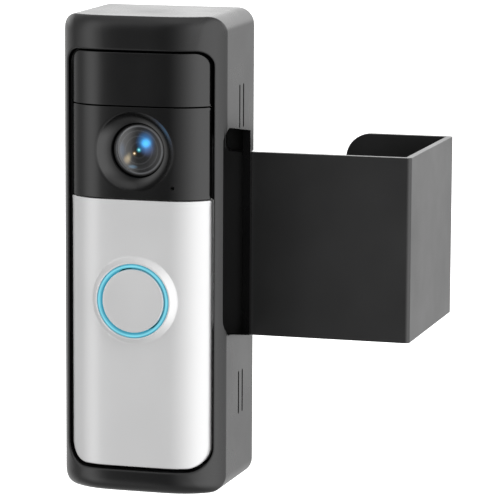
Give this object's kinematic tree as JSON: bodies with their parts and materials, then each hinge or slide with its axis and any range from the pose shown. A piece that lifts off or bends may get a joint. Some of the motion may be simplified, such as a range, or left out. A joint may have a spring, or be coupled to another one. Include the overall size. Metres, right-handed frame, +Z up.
{
  "type": "video doorbell with door bracket",
  "caption": "Slim video doorbell with camera, round lit button and black housing, on a folded steel bracket that clamps over the edge of a door.",
  "frame": {"origin": "middle of the arm pad's face, where the bracket bears on the outer face of the door", "axes": "+Z up along the doorbell, +Y from the street side into the door, +X towards the free edge of the door"},
  "size_m": [0.0993, 0.1192, 0.1428],
  "materials": {
    "bracket_paint": "fine satin black powder coat on folded sheet steel",
    "pad_rubber": "matt black foam rubber",
    "plated_steel": "zinc plated",
    "housing_plastic": "satin black moulded plastic with a very fine texture",
    "inner_plastic": "matt black moulded plastic",
    "satin_nickel": "satin nickel coloured, metallic coated",
    "gloss_black": "semi-gloss black",
    "lens_glass": "coated camera glass with blue reflections",
    "ir_glass": "clear epoxy",
    "light_guide": "translucent light guide lit cyan",
    "silicone": "soft silicone rubber",
    "circuit_board": "solder mask over glass epoxy",
    "chip_black": "moulded component plastic",
    "shield_steel": "tinned steel",
    "battery_wrap": "shrink wrap",
    "copper_foil": "copper foil on polyimide"
  },
  "bodies": {
    "mount": {"door_bracket": "bracket_paint", "arm_door_pad": "pad_rubber", "head_door_pad": "pad_rubber", "edge_door_pad": "pad_rubber", "clamp_nut_upper": "plated_steel", "clamp_nut_lower": "plated_steel", "housing": "housing_plastic", "housing_screw_upper_right": "plated_steel", "housing_screw_upper_left": "plated_steel", "housing_screw_lower_right": "plated_steel", "housing_screw_lower_left": "plated_steel", "riser": "inner_plastic", "wall_bracket": "inner_plastic", "wall_bracket_screw_upper": "plated_steel", "riser_screw_upper": "plated_steel", "wall_bracket_screw_lower": "plated_steel", "riser_screw_lower": "plated_steel", "lock_screw": "plated_steel", "silver_faceplate": "satin_nickel", "camera_cover": "gloss_black", "sensor_window": "gloss_black", "rear_case": "inner_plastic", "case_gasket": "silicone", "front_chassis": "inner_plastic", "case_screw_upper_right": "plated_steel", "case_screw_upper_left": "plated_steel", "case_screw_lower_right": "plated_steel", "case_screw_lower_left": "plated_steel", "light_ring": "light_guide", "button_dome": "silicone", "tact_switch": "chip_black", "led_board": "circuit_board", "camera_board": "circuit_board", "image_sensor": "chip_black", "lens_holder": "inner_plastic", "lens_barrel": "inner_plastic", "lens_retainer": "gloss_black", "front_lens": "lens_glass", "main_board": "circuit_board", "processor_shield": "shield_steel", "battery_pack": "battery_wrap", "charge_port": "shield_steel", "port_plug": "silicone", "speaker": "chip_black", "speaker_gasket": "silicone", "antenna": "copper_foil", "sensor_board": "circuit_board", "motion_sensor": "shield_steel", "ir_emitter_right": "ir_glass", "ir_emitter_left": "ir_glass", "mic_gasket": "silicone", "microphone": "shield_steel"},
    "button": {"button_cap": "satin_nickel"},
    "switch_plunger": {"switch_plunger": "chip_black"},
    "clamp": {"clamp_plate": "bracket_paint", "clamp_pad": "pad_rubber"},
    "clamp_screw_upper": {"clamp_screw_upper": "plated_steel"},
    "clamp_screw_lower": {"clamp_screw_lower": "plated_steel"}
  },
  "joints": [
    {"name": "button_press", "type": "slide", "parent": "mount", "child": "button", "axis": [0, 1, 0], "range_m": [0, 0.0008], "stiffness_N_per_m": 2500, "springref_m": -0.0004, "deforming": ["button_dome"]},
    {"name": "plunger_travel", "type": "slide", "parent": "mount", "child": "switch_plunger", "axis": [0, 1, 0], "range_m": [0, 0.00025]},
    {"name": "clamp_travel", "type": "slide", "parent": "mount", "child": "clamp", "axis": [0, -1, 0], "range_m": [0, 0.012]},
    {"name": "upper_screw_turn", "type": "hinge", "parent": "clamp", "child": "clamp_screw_upper", "pos_m": [0.0084, 0.06, 0.009], "axis": [0, -1, 0], "range_deg": [0, 5400]},
    {"name": "lower_screw_turn", "type": "hinge", "parent": "clamp", "child": "clamp_screw_lower", "pos_m": [0.0084, 0.06, -0.009], "axis": [0, -1, 0], "range_deg": [0, 5400]}
  ],
  "couplings": [
    {"joint": "plunger_travel", "follows": "button_press", "ratio": 0.3125},
    {"joint": "clamp_travel", "follows": "upper_screw_turn", "m_per_rad": 0.00012732},
    {"joint": "lower_screw_turn", "follows": "upper_screw_turn", "ratio": 1}
  ]
}
